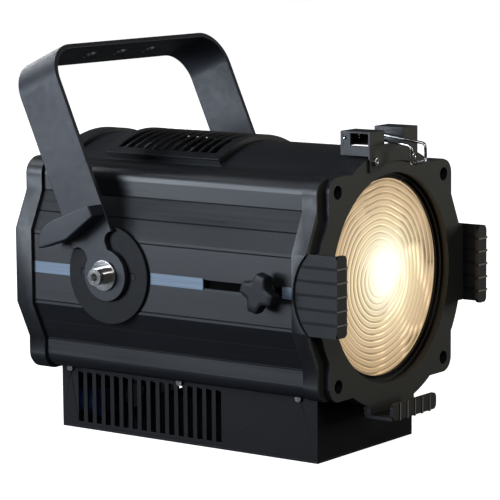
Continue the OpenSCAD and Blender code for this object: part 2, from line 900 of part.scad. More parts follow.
module pivot_screws() {
    color(steel) both_sides() difference() {
        union() {
            rod_x_dir(pivot_d, side_half - nut_in, spring_out + eps, pivot_y, axis_h);
            rod_x_dir(pivot_head_d, spring_out, spring_out + pivot_head_h, pivot_y, axis_h);
        }
        translate([spring_out + pivot_head_h - 4, pivot_y, axis_h]) rotate([0, 90, 0])
            cylinder(d = 6.9, h = 5, $fn = 6);
    }
}

// ---- focus carriage --------------------------------------------------------

module guide_rods() {
    color(steel) for (sx = [-1, 1]) rod_y(rod_d, rod_front, rod_rear, sx * rod_x, rod_z);
}

// Plate that carries the LED, with an upright at the slot for the focus stud
module carriage_plate() {
    color([0.55, 0.56, 0.58]) difference() {
        union() {
            along_y(carriage_y, carriage_y + carriage_t) {
                circle(r = carriage_r);
                for (sx = [-1, 1]) translate([sx * rod_x, rod_z]) circle(r = bush_d / 2 + 3);
                translate([-rod_x - 5, rod_z]) square([2 * rod_x + 10, 30]);
                translate([-upright_x, -10]) square([upright_x, 20]);
            }
            translate([-upright_x, knob_y - 7, axis_h - 10])
                cube([8, carriage_y - knob_y + 7 + carriage_t, 20]);
        }
        for (sx = [-1, 1])
            rod_y(bush_d, carriage_y - 1, carriage_y + carriage_t + 1, sx * rod_x, rod_z);
        rod_y(led_d - 6, carriage_y - 1, carriage_y + carriage_t + 1);
        rod_x_dir(stud_d, -upright_x - 1, -upright_x + 9, knob_y, axis_h);
    }
}

module carriage_bushes() {
    color([0.72, 0.55, 0.28]) for (sx = [-1, 1]) difference() {
        rod_y(bush_d, carriage_y, carriage_y + bush_len, sx * rod_x, rod_z);
        rod_y(rod_d + 2 * run_fit, carriage_y - 1, carriage_y + bush_len + 1, sx * rod_x, rod_z);
    }
}

module heat_sink() {
    y0 = carriage_y + carriage_t;
    pitch = (sink_w - fin_t) / (fin_n - 1);
    color([0.3, 0.31, 0.33]) {
        translate([-sink_w / 2, y0, axis_h - 45]) cube([sink_w, sink_base_t, 100]);
        for (i = [0 : fin_n - 1])
            translate([-sink_w / 2 + i * pitch, y0 + sink_base_t - eps, axis_h - 45])
                cube([fin_t, fin_deep, 100]);
        rod_y(led_d - 6.4, carriage_y, y0 + eps);
    }
}

module led_module() {
    color([0.95, 0.85, 0.4]) rod_y(led_d - 10, carriage_y - led_t, carriage_y);
}

module led_clamp_ring() {
    color([0.85, 0.85, 0.85]) difference() {
        rod_y(led_d + 10, carriage_y - led_t - 1, carriage_y);
        rod_y(led_d - 10 + 2 * loose, carriage_y - led_t - 2, carriage_y + 1);
    }
}

module led_reflector() {
    color([0.9, 0.9, 0.92]) translate([0, carriage_y - led_t - 1, axis_h]) rotate([90, 0, 0])
        rotate_extrude() polygon([[17, 0], [19, 0], [27, 12], [27, 14], [25.5, 14]]);
}

module focus_stud() {
    color(steel) rod_x_dir(stud_d, -knob_base - 6, -upright_x + 8, knob_y, axis_h);
}

// Spacer between the barrel and the knob
module focus_spacer() {
    color(steel) difference() {
        rod_x_dir(stud_d + 6, -knob_base, -side_half - 0.3, knob_y, axis_h);
        rod_x_dir(stud_d + 2 * run_fit, -knob_base - 1, -side_half + 1, knob_y, axis_h);
    }
}

// Light trap behind the slot; it slides with the carriage
module slot_baffle() {
    color([0.05, 0.05, 0.05]) difference() {
        translate([-baffle_x, knob_y - 8, axis_h - 8]) cube([baffle_t, slot_len - 4, 16]);
        rod_x_dir(stud_d + 2 * run_fit, -baffle_x - 1, -baffle_x + 2, knob_y, axis_h);
    }
}

// Four-lobed clamping knob
module focus_knob() {
    lobe = knob_d * 0.19;
    color([0.06, 0.06, 0.07]) difference() {
        along_x(-knob_base - knob_h, -knob_base) translate([knob_y, axis_h]) rotate(17) {
            circle(d = knob_d * 0.62);
            for (a = [0 : 90 : 270]) rotate(a) {
                translate([knob_d / 2 - lobe, 0]) circle(r = lobe);
                translate([0, -lobe]) square([knob_d / 2 - lobe, 2 * lobe]);
            }
        }
        rod_x_dir(stud_d + 2 * run_fit, -knob_base - 6 - run_fit, -knob_base + 1, knob_y, axis_h);
    }
}

// ---- fan -------------------------------------------------------------------

module fan_frame() {
    hub_d = 30;
    color([0.07, 0.07, 0.07]) {
        difference() {
            translate([-fan_w / 2, fan_back, axis_h + fan_z - fan_w / 2]) cube([fan_w, fan_d, fan_w]);
            rod_y(fan_w - 5, fan_back - 1, fan_face + 1, 0, fan_z);
            for (sx = [-1, 1], sz = [-1, 1]) rod_y(4.3, fan_back - 1, fan_face + 1,
                sx * 35.75, fan_z + sz * 35.75);
        }
        rod_y(hub_d, fan_back, fan_back + 3, 0, fan_z);
        for (a = [0, 90]) translate([0, fan_back + 1.6, axis_h + fan_z]) rotate([0, a, 0])
            cube([fan_w - 4, 2, 4], center = true);
        rod_y(4, fan_back + 1, fan_back + 12, 0, fan_z);
    }
}

module fan_blade() {
    translate([13, 0, -1]) rotate([-38, 0, 0]) cube([22, 1.4, 12]);
}

module fan_rotor() {
    y0 = fan_back + 3.6;
    color([0.1, 0.1, 0.1]) difference() {
        union() {
            rod_y(30, y0, fan_face - 1.5, 0, fan_z);
            for (i = [0 : blade_n - 1]) translate([0, y0 + 4, axis_h + fan_z])
                rotate([0, i * 360 / blade_n, 0]) fan_blade();
        }
        rod_y(4 + 2 * run_fit, y0 - 1, fan_back + 12 + run_fit, 0, fan_z);
    }
}

module fan_guard() {
    color(steel) difference() {
        rod_y(fan_w - 2 - 2 * loose, cap_rear - 3.9, cap_rear - 2.4, 0, fan_z);
        for (r = [8 : 6 : 32]) difference() {
            rod_y(2 * r + 4.4, cap_rear - 5, cap_rear, 0, fan_z);
            rod_y(2 * r, cap_rear - 6, cap_rear + 1, 0, fan_z);
            for (a = [0, 90]) translate([0, cap_rear - 3, axis_h + fan_z]) rotate([0, a, 0])
                cube([fan_w, 8, 3], center = true);
        }
    }
}

// ---- nodes -----------------------------------------------------------------

barrel_shell();
side_strips();
front_casting();
front_screws();
fresnel_lens();
lens_gasket();
lens_retaining_ring();
front_bulkhead();
rear_bulkhead();
accessory_clip_left();
accessory_clip_right();
accessory_clip_bottom();
latch_bracket();
latch_screws();
latch_bail();
rear_cap();
rear_cap_screws();
top_vent_cover();
base_box();
base_rails();
base_plate();
base_screws();
base_plate_screws();
led_driver();
control_board();
control_panel();
display_window();
menu_button(0);  // menu_button_1
menu_button(1);  // menu_button_2
menu_button(2);  // menu_button_3
menu_button(3);  // menu_button_4
power_inlet();
data_socket_in();
data_socket_out();
pivot_disc_left();
pivot_disc_right();
disc_screws();
yoke();
pivot_guard_left();
pivot_guard_right();
pivot_washers();
pivot_spring_washers();
pivot_screws();
guide_rods();
carriage_plate();
carriage_bushes();
heat_sink();
led_module();
led_clamp_ring();
led_reflector();
focus_stud();
focus_spacer();
slot_baffle();
focus_knob();
fan_frame();
fan_rotor();
fan_guard();
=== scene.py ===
"""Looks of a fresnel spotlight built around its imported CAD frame."""

import json
import math

import bmesh
import bpy
from mathutils import Matrix, Vector

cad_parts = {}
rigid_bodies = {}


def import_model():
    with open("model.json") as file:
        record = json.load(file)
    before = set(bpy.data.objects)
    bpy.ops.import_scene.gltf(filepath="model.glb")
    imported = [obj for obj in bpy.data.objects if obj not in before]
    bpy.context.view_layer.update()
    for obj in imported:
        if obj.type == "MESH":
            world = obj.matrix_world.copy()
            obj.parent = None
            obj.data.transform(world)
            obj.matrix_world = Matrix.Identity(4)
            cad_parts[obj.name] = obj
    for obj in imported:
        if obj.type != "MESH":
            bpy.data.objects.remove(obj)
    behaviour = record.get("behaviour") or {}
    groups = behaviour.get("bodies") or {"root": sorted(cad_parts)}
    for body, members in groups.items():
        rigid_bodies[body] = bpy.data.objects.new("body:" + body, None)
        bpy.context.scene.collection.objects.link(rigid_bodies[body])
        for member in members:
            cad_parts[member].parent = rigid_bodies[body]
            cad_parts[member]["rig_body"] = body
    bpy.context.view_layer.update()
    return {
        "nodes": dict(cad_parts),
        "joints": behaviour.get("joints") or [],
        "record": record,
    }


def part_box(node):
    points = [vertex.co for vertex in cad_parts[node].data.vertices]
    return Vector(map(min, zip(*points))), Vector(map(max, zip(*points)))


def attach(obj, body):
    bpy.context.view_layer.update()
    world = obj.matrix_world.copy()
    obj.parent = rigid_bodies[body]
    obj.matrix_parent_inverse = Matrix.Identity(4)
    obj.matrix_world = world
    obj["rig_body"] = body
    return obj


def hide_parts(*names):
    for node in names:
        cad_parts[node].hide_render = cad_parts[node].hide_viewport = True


MM = 0.001
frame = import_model()
nodes = frame["nodes"]
scene = bpy.context.scene


def joint(name):
    """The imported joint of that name."""
    return next(j for j in frame["joints"] if j["name"] == name)


# Stations that the pieces below are placed from, in metres
PIVOT = Vector(joint("pivot_tilt")["pos_m"])
AXIS_Z = PIVOT.z
LENS_LOW, LENS_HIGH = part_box("fresnel_lens")
LENS_R = (LENS_HIGH.x - LENS_LOW.x) / 2
LENS_VIEW_R = 75 * MM
LENS_PLAIN_R = 15 * MM  # the smooth middle, inside the first ring
LENS_RINGS = 12
LENS_PITCH = (LENS_VIEW_R - LENS_PLAIN_R) / LENS_RINGS
CLIP_PITCH = 10.4 * MM  # from one rib of a clip to the next

# What the materials paint on the barrel, the casting and the clips (painted shade in the grooves
# and the bore, painted shadow and highlight on the clip ribs), in metres from the barrel's axis
SIDE_FACE_X = 0.1035
TOP_FACE_Z = 0.078
RECESS_GROOVE_Z, RECESS_GROOVE_HALF = 0.0265, 0.00055
PANEL_GROOVES_Z = (0.0440, 0.0598)
TOP_GROOVE_X = 0.057
GROOVE_HALF = 0.0006
LENS_BORE_R = 0.0812
RIB_SHADOW_HALF = 0.0011
RIB_HIGHLIGHT_HALF = 0.0006

# Shading
FRONT_NORMAL_Y = -0.6  # a face whose normal points further along -Y looks forwards
GRAIN_DEPTH = 0.0002
SCRATCH_DEPTH = 0.0001
SMOOTH_ANGLE = 35

# ---------------------------------------------------------------- camera

CAMERA_ANGLES = (-52.2, 8.33, -0.5)  # azimuth, elevation and roll in degrees
CAMERA_DISTANCE = 2.0945  # from the tilt axis
AIM_RIGHT, AIM_UP = 0.0465, 0.0058  # where the camera looks, off the tilt axis
SENSOR_WIDTH = 36
FOCAL_LENGTH = 5.18  # in widths of the picture


def add_camera():
    """A long lens from the front left, slightly above the lens axis."""
    azimuth, elevation, roll = map(math.radians, CAMERA_ANGLES)
    view = Vector((math.sin(-azimuth) * math.cos(elevation),
                   math.cos(azimuth) * math.cos(elevation), -math.sin(elevation)))
    right = view.cross(Vector((0, 0, 1))).normalized()
    up = right.cross(view)
    eye = PIVOT - view * CAMERA_DISTANCE
    aim = PIVOT + right * AIM_RIGHT + up * AIM_UP
    forward = (aim - eye).normalized()
    side = forward.cross(Vector((0, 0, 1))).normalized()
    top = side.cross(forward)
    turn = Matrix((side, top, -forward)).transposed() @ Matrix.Rotation(roll, 3, "Z")
    data = bpy.data.cameras.new("camera")
    data.sensor_width = SENSOR_WIDTH
    data.lens = SENSOR_WIDTH * FOCAL_LENGTH
    data.clip_end = 50
    camera = bpy.data.objects.new("camera", data)
    camera.matrix_world = Matrix.Translation(eye) @ turn.to_4x4()
    scene.collection.objects.link(camera)
    scene.camera = camera


add_camera()

# ---------------------------------------------------------------- materials


class Nodes:
    """Short calls for building a node tree."""

    def __init__(self, tree):
        self.tree = tree

    def add(self, kind):
        return self.tree.nodes.new(kind)

    def link(self, a, b):
        self.tree.links.new(a, b)

    def noise(self, coords, scale, detail=2.0, rough=0.5, distortion=0.0):
        n = self.add("ShaderNodeTexNoise")
        n.inputs["Scale"].default_value = scale
        n.inputs["Detail"].default_value = detail
        n.inputs["Roughness"].default_value = rough
        n.inputs["Distortion"].default_value = distortion
        self.link(coords, n.inputs["Vector"])
        return n.outputs["Fac"]

    def scaled(self, coords, scale):
        n = self.add("ShaderNodeMapping")
        n.inputs["Scale"].default_value = scale
        self.link(coords, n.inputs["Vector"])
        return n.outputs["Vector"]

    def ramp(self, value, stops):
        """Colour from a list of (position, colour) stops."""
        n = self.add("ShaderNodeValToRGB")
        elements = n.color_ramp.elements
        while len(elements) < len(stops):
            elements.new(0.5)
        for element, (position, color) in zip(elements, stops):
            element.position = position
            element.color = (*color, 1)
        self.link(value, n.inputs["Fac"])
        return n.outputs["Color"]

    def map(self, value, a, b, c, d):
        """Carries the range a to b over to c to d, and stops at its ends."""
        n = self.add("ShaderNodeMapRange")
        n.inputs["From Min"].default_value = a
        n.inputs["From Max"].default_value = b
        n.inputs["To Min"].default_value = c
        n.inputs["To Max"].default_value = d
        self.link(value, n.inputs["Value"])
        return n.outputs["Result"]

    def math(self, op, a, b=None):
        n = self.add("ShaderNodeMath")
        n.operation = op
        for i, v in enumerate((a, b)):
            if v is None:
                continue
            if isinstance(v, (int, float)):
                n.inputs[i].default_value = v
            else:
                self.link(v, n.inputs[i])
        return n.outputs["Value"]

    def mix(self, factor, a, b, blend="MIX"):
        n = self.add("ShaderNodeMix")
        n.data_type = "RGBA"
        n.blend_type = blend
        for name, v in (("Factor", factor), ("A", a), ("B", b)):
            socket = [s for s in n.inputs if s.name == name and s.enabled][0]
            if isinstance(v, (int, float)):
                socket.default_value = v
            elif isinstance(v, tuple):
                socket.default_value = (*v, 1)
            else:
                self.link(v, socket)
        return [s for s in n.outputs if s.enabled][0]

    def axes(self, vector):
        """The X, Y and Z outputs of a vector."""
        split = self.add("ShaderNodeSeparateXYZ")
        self.link(vector, split.inputs[0])
        return split.outputs

    def object_axes(self):
        return self.axes(self.add("ShaderNodeTexCoord").outputs["Object"])

    def length(self, a, b):
        """Length of the vector (a, b)."""
        return self.math("SQRT", self.math("ADD", self.math("MULTIPLY", a, a),
                                           self.math("MULTIPLY", b, b)))

    def rubbed_edge(self, amount):
        """Rises to amount on convex edges and is 0 elsewhere."""
        edge = self.add("ShaderNodeNewGeometry").outputs["Pointiness"]
        return self.map(edge, 0.515, 0.56, 0, amount)

    def bump(self, shader, height, strength, depth):
        b = self.add("ShaderNodeBump")
        b.inputs["Strength"].default_value = strength
        b.inputs["Distance"].default_value = depth
        self.link(height, b.inputs["Height"])
        self.link(b.outputs["Normal"], shader.inputs["Normal"])


def new_material(name):
    """A material with its node calls, its shader and its object coordinates."""
    m = bpy.data.materials.new(name)
    m.use_nodes = True
    n = Nodes(m.node_tree)
    shader = m.node_tree.nodes["Principled BSDF"]
    coords = n.add("ShaderNodeTexCoord").outputs["Object"]
    return m, n, shader, coords


def coated(name, color, rough=0.5, grain=900, bump=0.25, wear=0.25, metallic=0.0, specular=0.5,
           vary=0.25):
    """Powder coat, moulded plastic or cast skin: fine bumps, slow colour and gloss changes,
    and edges that are rubbed a little lighter."""
    m, n, shader, co = new_material(name)
    fine = n.noise(co, grain, 3, 0.6)
    slow = n.noise(co, 22, 3, 0.55)
    dust = n.noise(co, 160, 4, 0.65)
    tone = n.ramp(slow, [(0.3, tuple(c * (1 - vary) for c in color)),
                         (0.7, tuple(c * (1 + vary) for c in color))])
    tone = n.mix(n.map(fine, 0.35, 0.7, 0, 0.35), tone, tuple(min(c * 1.7, 1) for c in color))
    rubbed = n.math("MULTIPLY", n.rubbed_edge(wear), n.map(dust, 0.3, 0.7, 0.3, 1))
    tone = n.mix(rubbed, tone, tuple(min(c * 3.2 + 0.03, 1) for c in color))
    n.link(tone, shader.inputs["Base Color"])
    r = n.math("ADD", n.map(slow, 0.3, 0.7, rough - 0.05, rough + 0.05),
               n.map(dust, 0.35, 0.65, -0.04, 0.04))
    n.link(r, shader.inputs["Roughness"])
    shader.inputs["Metallic"].default_value = metallic
    shader.inputs["Specular IOR Level"].default_value = specular
    n.bump(shader, fine, bump, GRAIN_DEPTH)
    return m


def anodised(name, color, rough=0.34, along=(600, 6, 600), bump=0.06, metallic=0.75, wear=0.3):
    """Anodised aluminium with the fine drawn lines of an extrusion along one axis."""
    m, n, shader, co = new_material(name)
    lines = n.noise(n.scaled(co, along), 1.0, 4, 0.6)
    slow = n.noise(n.scaled(co, (14, 5, 14)), 1.0, 3, 0.5)
    fine = n.noise(co, 1500, 2, 0.5)
    tone = n.ramp(lines, [(0.3, tuple(c * 0.82 for c in color)),
                          (0.7, tuple(c * 1.2 for c in color))])
    tone = n.mix(n.map(slow, 0.35, 0.7, 0, 0.3), tone, tuple(c * 1.35 for c in color))
    tone = n.mix(n.rubbed_edge(wear), tone, tuple(min(c * 3 + 0.02, 1) for c in color))
    n.link(tone, shader.inputs["Base Color"])
    r = n.math("ADD", n.map(lines, 0.3, 0.7, rough - 0.05, rough + 0.05),
               n.map(slow, 0.3, 0.7, -0.04, 0.05))
    n.link(r, shader.inputs["Roughness"])
    shader.inputs["Metallic"].default_value = metallic
    n.bump(shader, n.mix(0.4, lines, fine), bump, SCRATCH_DEPTH)
    return m


def near(n, value, places, half):
    """1 where value is within half of one of the places, else 0."""
    total = None
    for place in places:
        gap = n.math("ABSOLUTE", n.math("SUBTRACT", value, place))
        hit = n.math("LESS_THAN", gap, half)
        total = hit if total is None else n.math("MAXIMUM", total, hit)
    return total


def overlay(m, mask, color, rough=0.8):
    """Lays a flat colour over a material where mask is 1, at least as rough as rough."""
    n = Nodes(m.node_tree)
    shader = next(x for x in m.node_tree.nodes if x.type == "BSDF_PRINCIPLED")
    base = shader.inputs["Base Color"].links[0].from_socket
    n.link(n.mix(mask, base, color), shader.inputs["Base Color"])
    old = shader.inputs["Roughness"].links[0].from_socket
    n.link(n.math("MAXIMUM", old, n.math("MULTIPLY", mask, rough)), shader.inputs["Roughness"])


def barrel_material():
    """The extrusion, with near-black lines of painted shade laid in its narrow grooves."""
    m = anodised("anodised_barrel", (0.010, 0.011, 0.014), rough=0.33, metallic=0, wear=0.08)
    n = Nodes(m.node_tree)
    axes = n.object_axes()
    x = n.math("ABSOLUTE", axes["X"])
    z = n.math("ABSOLUTE", n.math("SUBTRACT", axes["Z"], AXIS_Z))
    side = n.math("GREATER_THAN", x, SIDE_FACE_X)
    top = n.math("GREATER_THAN", z, TOP_FACE_Z)
    mask = n.math("MULTIPLY", near(n, z, [RECESS_GROOVE_Z], RECESS_GROOVE_HALF), side)
    mask = n.math("MAXIMUM", mask, near(n, z, PANEL_GROOVES_Z, GROOVE_HALF))
    mask = n.math("MAXIMUM", mask, n.math("MULTIPLY", near(n, x, [TOP_GROOVE_X], GROOVE_HALF), top))
    # painted shade: near-black in the narrow grooves
    overlay(m, mask, (0.0004, 0.0004, 0.0005))
    return m


def facing_front(n):
    """1 on faces that look towards -Y, else 0: where the painted front light goes."""
    normal = n.axes(n.add("ShaderNodeNewGeometry").outputs["Normal"])
    return n.math("LESS_THAN", normal["Y"], FRONT_NORMAL_Y)


def front_material():
    """The casting: blue-black at the sides, olive grey in front as painted warm light on the faces
    that look forwards, and black inside the bore as painted shade.
    """
    m = coated("cast_black", (0.011, 0.012, 0.0145), rough=0.4, grain=700, bump=0.3, wear=0.1)
    n = Nodes(m.node_tree)
    axes = n.object_axes()
    radius = n.length(axes["X"], n.math("SUBTRACT", axes["Z"], AXIS_Z))
    # painted light: olive grey on the faces that look forwards
    overlay(m, facing_front(n), (0.046, 0.046, 0.039), 0.5)
    # painted shade: near-black inside the lens bore
    overlay(m, n.math("LESS_THAN", radius, LENS_BORE_R), (0.002, 0.002, 0.0025), 0.3)
    return m


def clip_material(name, axis, centre):
    """Cast clip: ribs are dark on its outside as painted shadow, and its lip is paler as painted
    light, with painted highlights on the ribs along it.
    """
    m = coated(name, (0.007, 0.008, 0.010), rough=0.45, grain=1000, bump=0.2, wear=0.12,
               specular=0.35)
    n = Nodes(m.node_tree)
    across = n.object_axes()[axis]
    lip = facing_front(n)
    outside = n.math("SUBTRACT", 1.0, lip)
    places = [centre + i * CLIP_PITCH for i in (-2, -1, 0, 1, 2)]
    # painted light: olive grey on the lip, which looks forwards
    overlay(m, lip, (0.045, 0.046, 0.042), 0.5)
    # painted shadow: dark lines along the ribs on the outside
    overlay(m, n.math("MULTIPLY", near(n, across, places, RIB_SHADOW_HALF), outside),
            (0.001, 0.001, 0.0012), 0.6)
    # painted highlight: pale lines along the ribs on the lip
    overlay(m, n.math("MULTIPLY", near(n, across, places, RIB_HIGHLIGHT_HALF), lip),
            (0.30, 0.29, 0.26), 0.5)
    return m


def bright_metal(name, color, rough=0.12, scale=400, vary=0.06):
    """Polished or plated metal with faint smears and fine scratches."""
    m, n, shader, co = new_material(name)
    smear = n.noise(co, 90, 4, 0.6, 0.4)
    fine = n.noise(co, scale, 3, 0.6)
    n.link(n.ramp(smear, [(0.3, tuple(c * 0.86 for c in color)), (0.7, color)]),
           shader.inputs["Base Color"])
    n.link(n.map(smear, 0.3, 0.7, max(rough - vary, 0.03), rough + vary),
           shader.inputs["Roughness"])
    shader.inputs["Metallic"].default_value = 1
    n.bump(shader, fine, 0.05, SCRATCH_DEPTH)
    return m


ANODISED = barrel_material()
CLIP_SIDE = clip_material("clip_side_black", "Z", AXIS_Z)
CLIP_LOW = clip_material("clip_low_black", "X", 0)
INLAY = anodised("side_inlay", (0.20, 0.27, 0.36), rough=0.42, wear=0, metallic=0.1)
CAST = front_material()
POWDER = coated("powder_black", (0.006, 0.006, 0.0075), rough=0.46, grain=1100, bump=0.25,
                specular=0.20, wear=0.1)
YOKE = coated("yoke_black", (0.019, 0.021, 0.029), rough=0.42, grain=1300, bump=0.15, vary=0.12,
              wear=0.15)
MOULDED = coated("moulded_black", (0.010, 0.011, 0.0135), rough=0.40, grain=1000, bump=0.2,
                 wear=0.12)
DISC = coated("disc_black", (0.0085, 0.0085, 0.010), rough=0.5, grain=1200, bump=0.2, specular=0.22,
              wear=0.1)
KNOB = coated("knob_black", (0.011, 0.012, 0.015), rough=0.46, grain=1400, bump=0.12, wear=0.05,
              specular=0.35)
# painted shade: near-black matte for the parts seen inside the barrel
DARK = coated("painted_inner_shade", (0.002, 0.002, 0.002), rough=0.8, grain=500, bump=0.1, wear=0,
              specular=0.05)
BLACK_STEEL = bright_metal("black_screws", (0.03, 0.03, 0.033), 0.35)
BRIGHT = bright_metal("bright_screws", (0.82, 0.80, 0.78), 0.14)
CHROME = bright_metal("chrome_wire", (0.70, 0.70, 0.71), 0.10)
PLATED = bright_metal("plated_steel", (0.45, 0.45, 0.47), 0.28)
BARE = anodised("bare_aluminium", (0.55, 0.56, 0.58), rough=0.35, metallic=1, wear=0)
BLACK_ALU = anodised("black_aluminium", (0.034, 0.037, 0.045), rough=0.42, along=(300, 300, 300),
                     metallic=0.15, wear=0.15)
BRONZE = bright_metal("bronze_bush", (0.5, 0.33, 0.15), 0.35)
GASKET = coated("gasket", (0.012, 0.012, 0.013), rough=0.35, grain=500, bump=0.1, wear=0)
BOARD = coated("board", (0.01, 0.08, 0.035), rough=0.3, grain=300, bump=0.2, wear=0)
DRIVER = coated("driver_case", (0.03, 0.03, 0.032), rough=0.4, grain=600, bump=0.1, wear=0)
PANEL = coated("panel", (0.010, 0.010, 0.012), rough=0.22, grain=400, bump=0.05, wear=0)
DISPLAY = coated("display", (0.008, 0.012, 0.02), rough=0.06, grain=200, bump=0.01, wear=0)
RUBBER = coated("button_rubber", (0.06, 0.06, 0.065), rough=0.6, grain=900, bump=0.2, wear=0.1)
BLUE = coated("inlet_blue", (0.02, 0.06, 0.22), rough=0.35, grain=800, bump=0.12, wear=0.15)
SOCKET = bright_metal("socket_metal", (0.16, 0.16, 0.17), 0.3)
FAN = coated("fan_plastic", (0.012, 0.012, 0.013), rough=0.45, grain=900, bump=0.1, wear=0.1)
PHOSPHOR = coated("led_phosphor", (0.9, 0.75, 0.25), rough=0.3, grain=900, bump=0.1, wear=0)
REFLECTOR = bright_metal("reflector", (0.9, 0.9, 0.91), 0.08)

SLOT_MATERIALS = {
    "anodised_barrel": ANODISED, "side_inlay": INLAY, "cast_black": CAST, "powder_black": POWDER,
    "yoke_black": YOKE, "moulded_black": MOULDED, "black_screws": BLACK_STEEL,
    "bright_screws": BRIGHT, "chrome_wire": CHROME, "plated_steel": PLATED, "gasket": GASKET,
    "bare_aluminium": BARE, "black_aluminium": BLACK_ALU, "bronze_bush": BRONZE,
    "led_phosphor": PHOSPHOR, "reflector": REFLECTOR, "board": BOARD, "driver_case": DRIVER,
    "panel": PANEL, "display": DISPLAY, "button_rubber": RUBBER, "inlet_blue": BLUE,
    "socket_metal": SOCKET, "knob_black": KNOB, "fan_plastic": FAN,
}


def lit_lens():
    """Stepped glass with the lamp's light through it painted on as glow: white in the middle, cream
    and tan further out, crossed by painted light and dark lines along its rings.
    """
    m, n, shader, co = new_material("lens_glass")
    axes = n.axes(co)
    x, z = axes["X"], n.math("SUBTRACT", axes["Z"], AXIS_Z)

    def distance(cx, cz):
        return n.length(n.math("SUBTRACT", x, cx), n.math("SUBTRACT", z, cz))

    glow = distance(0.008, 0.003)  # from the hot spot, a little off the middle
    spread = n.map(glow, 0, 0.085, 0, 1)
    tone = n.ramp(spread, [
        (0.0, (1.0, 0.97, 0.86)), (0.22, (1.0, 0.92, 0.70)), (0.45, (0.92, 0.76, 0.48)),
        (0.7, (0.80, 0.60, 0.37)), (1.0, (0.62, 0.43, 0.23))])
    level = n.ramp(spread, [
        (0.0, (1.5, 1.5, 1.5)), (0.18, (1.25, 1.25, 1.25)), (0.35, (0.88, 0.88, 0.88)),
        (1.0, (0.66, 0.66, 0.66))])
    streak = n.noise(co, 45, 2, 0.5, 0.6)
    wobble = n.map(n.noise(co, 18, 1, 0.4), 0.3, 0.7, -0.0018, 0.0018)
    radius = n.math("ADD", distance(0, 0), wobble)
    step = n.math("FRACT", n.math("DIVIDE", n.math("SUBTRACT", radius, LENS_PLAIN_R), LENS_PITCH))
    # painted highlight and shade on each ring: a dark line at the riser, bright lines across the
    # ring
    shade = n.ramp(step, [
        (0.0, (0.20, 0.16, 0.12)), (0.08, (0.85, 0.85, 0.85)), (0.16, (1.8, 1.9, 2.2)),
        (0.24, (1.0, 1.0, 1.0)), (0.55, (0.9, 0.88, 0.84)), (0.64, (1.25, 1.27, 1.35)),
        (0.72, (0.80, 0.77, 0.70)), (1.0, (0.42, 0.38, 0.31))])
    depth = n.math("MULTIPLY", n.map(glow, 0.012, 0.042, 0.08, 0.95),
                   n.map(streak, 0.3, 0.7, 0.55, 1.25))
    level = n.mix(depth, level, n.mix(1.0, level, shade, "MULTIPLY"))
    n.link(tone, shader.inputs["Emission Color"])
    n.link(level, shader.inputs["Emission Strength"])
    n.link(n.mix(0.8, tone, (0.05, 0.045, 0.04)), shader.inputs["Base Color"])
    n.link(n.map(streak, 0.3, 0.7, 0.3, 0.5), shader.inputs["Roughness"])
    shader.inputs["Specular IOR Level"].default_value = 0.05
    return m


SLOT_MATERIALS["lens_glass"] = LENS = lit_lens()

# ---------------------------------------------------------------- carried-over CAD nodes

BEVEL = {  # node: width in mm, for the nodes whose edges show
    "side_strips": 0.1, "front_casting": 0.8, "rear_cap": 0.9,
    "top_vent_cover": 0.5, "base_box": 0.5, "base_plate": 0.4, "yoke": 0.6,
    "pivot_disc_left": 0.7, "pivot_disc_right": 0.7, "pivot_washers": 0.3, "pivot_screws": 0.5,
    "latch_bracket": 0.3, "accessory_clip_left": 0.25, "accessory_clip_right": 0.25,
    "accessory_clip_bottom": 0.25, "pivot_guard_left": 1.2, "pivot_guard_right": 1.2,
    "focus_knob": 1.0, "control_panel": 0.25, "menu_button_1": 0.4, "menu_button_2": 0.4,
    "menu_button_3": 0.4, "menu_button_4": 0.4, "power_inlet": 0.4, "data_socket_in": 0.4,
    "data_socket_out": 0.4, "front_screws": 0.3, "rear_cap_screws": 0.3, "base_screws": 0.4,
    "latch_screws": 0.3,
}


def soften(obj, width):
    """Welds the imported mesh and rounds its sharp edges."""
    weld = obj.modifiers.new("weld", "WELD")
    weld.merge_threshold = 0.00001
    bevel = obj.modifiers.new("bevel", "BEVEL")
    bevel.width = width * MM
    bevel.segments = 3
    bevel.limit_method = "ANGLE"
    bevel.angle_limit = math.radians(32)
    bevel.miter_outer = "MITER_ARC"
    bevel.harden_normals = False
    normals = obj.modifiers.new("normals", "WEIGHTED_NORMAL")
    normals.keep_sharp = False


OWN_MATERIALS = {  # node: material, where it isn't the one of the node's slot
    "pivot_guard_left": YOKE, "pivot_guard_right": YOKE, "base_rails": POWDER,
    "accessory_clip_left": CLIP_SIDE, "accessory_clip_right": CLIP_SIDE,
    "accessory_clip_bottom": CLIP_LOW, "pivot_disc_left": DISC, "pivot_disc_right": DISC,
    # the slot baffle, carriage plate and LED driver wear the near-black painted shade of the inside
    "base_screws": BRIGHT, "latch_bracket": CAST, "slot_baffle": DARK, "carriage_plate": DARK,
    "led_driver": DARK,
}
for part in frame["record"]["subparts"]:
    obj = nodes[part["node"]]
    obj.data.materials.clear()
    obj.data.materials.append(
        OWN_MATERIALS.get(part["node"], SLOT_MATERIALS[part["material_slot"]]))
    if part["node"] in BEVEL:
        soften(obj, BEVEL[part["node"]])

# ---------------------------------------------------------------- pieces built here


def shade_smooth(mesh, angle=SMOOTH_ANGLE):
    """Smooth shading that breaks at edges sharper than angle."""
    mesh.polygons.foreach_set("use_smooth", [True] * len(mesh.polygons))
    mesh.set_sharp_from_angle(angle=math.radians(angle))


def mesh_object(name, verts, faces, material, smooth=True):
    """A mesh object in the scene."""
    mesh = bpy.data.meshes.new(name)
    mesh.from_pydata([tuple(v) for v in verts], [], faces)
    mesh.validate()
    obj = bpy.data.objects.new(name, mesh)
    scene.collection.objects.link(obj)
    if smooth:
        shade_smooth(mesh)
    mesh.materials.append(material)
    return obj


